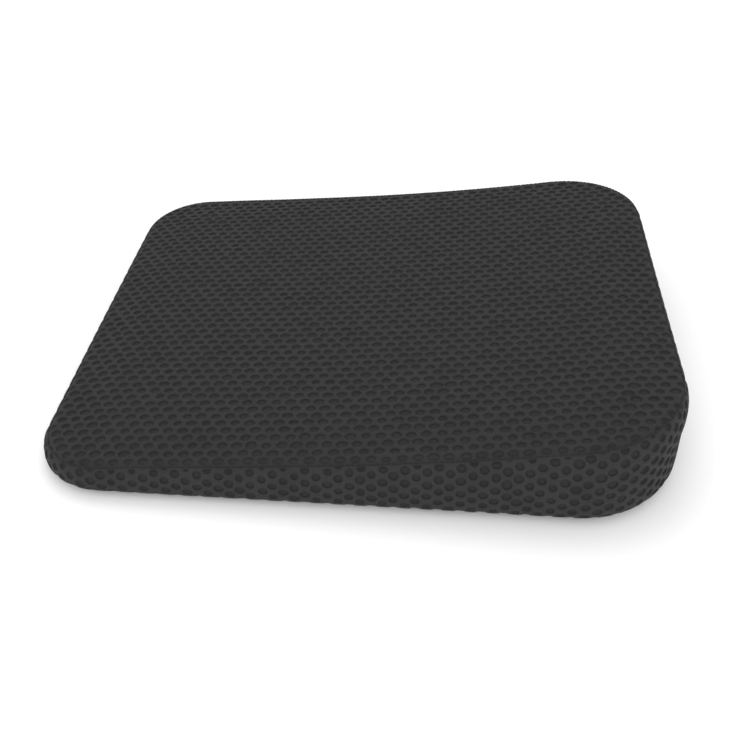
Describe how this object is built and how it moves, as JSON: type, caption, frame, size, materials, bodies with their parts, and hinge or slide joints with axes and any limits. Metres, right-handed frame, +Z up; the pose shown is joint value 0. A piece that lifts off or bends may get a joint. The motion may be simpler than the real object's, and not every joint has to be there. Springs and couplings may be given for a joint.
{
  "type": "seat cushion",
  "caption": "Wedge seat cushion with a thin front, thick rear, rounded corners, honeycomb mesh cover, rear zip and non-slip base.",
  "frame": {"origin": "middle of the cushion's footprint, on the surface it rests on", "axes": "+Z up; -Y towards the thin front edge that a sitter's thighs cross; +Y towards the thick rear wall with the zip; X across the width"},
  "size_m": [0.356, 0.4219, 0.0621],
  "materials": {
    "mesh": "matt honeycomb air-mesh knit",
    "base_cloth": "matt close-woven polyester",
    "grip": "satin moulded dots on a thin film",
    "label": "satin woven ribbon",
    "thread": "spun polyester thread",
    "liner": "thin knitted jersey",
    "comfort_foam": "open-cell slow-recovery foam",
    "support_foam": "open-cell firm foam",
    "zip_tape": "matt woven herringbone tape",
    "zip_coil": "semi-matt moulded nylon",
    "zip_metal": "satin black lacquer"
  },
  "bodies": {
    "cushion": {"top_panel": "mesh", "side_boxing": "mesh", "rear_boxing_upper": "mesh", "rear_boxing_lower": "mesh", "base_panel": "base_cloth", "grip_coating": "grip", "care_label": "label", "top_seam_thread": "thread", "base_seam_thread": "thread", "closing_seam_threads": "thread", "liner_upper": "liner", "liner_lower": "liner", "comfort_foam": "comfort_foam", "support_foam": "support_foam", "zipper_tape_upper": "zip_tape", "zipper_tape_lower": "zip_tape", "zipper_coil_upper": "zip_coil", "zipper_coil_lower": "zip_coil", "zipper_top_stops": "zip_metal", "zipper_bottom_stop": "zip_metal", "zipper_end_tab_left": "zip_tape", "zipper_end_tab_right": "zip_tape", "zipper_stitching_upper": "thread", "zipper_stitching_lower": "thread"},
    "slider": {"zipper_slider": "zip_metal"},
    "pull": {"zipper_pull": "zip_metal"}
  },
  "joints": [
    {"name": "zip_slide", "type": "slide", "parent": "cushion", "child": "slider", "axis": [1, 0, 0], "range_m": [-0.162, 0], "deforming": ["zipper_tape_upper", "zipper_tape_lower", "zipper_coil_upper", "zipper_coil_lower"]},
    {"name": "pull_hinge", "type": "hinge", "parent": "slider", "child": "pull", "pos_m": [0.081, 0.2104, 0.03], "axis": [0, 0, -1], "range_deg": [0, 170]}
  ]
}
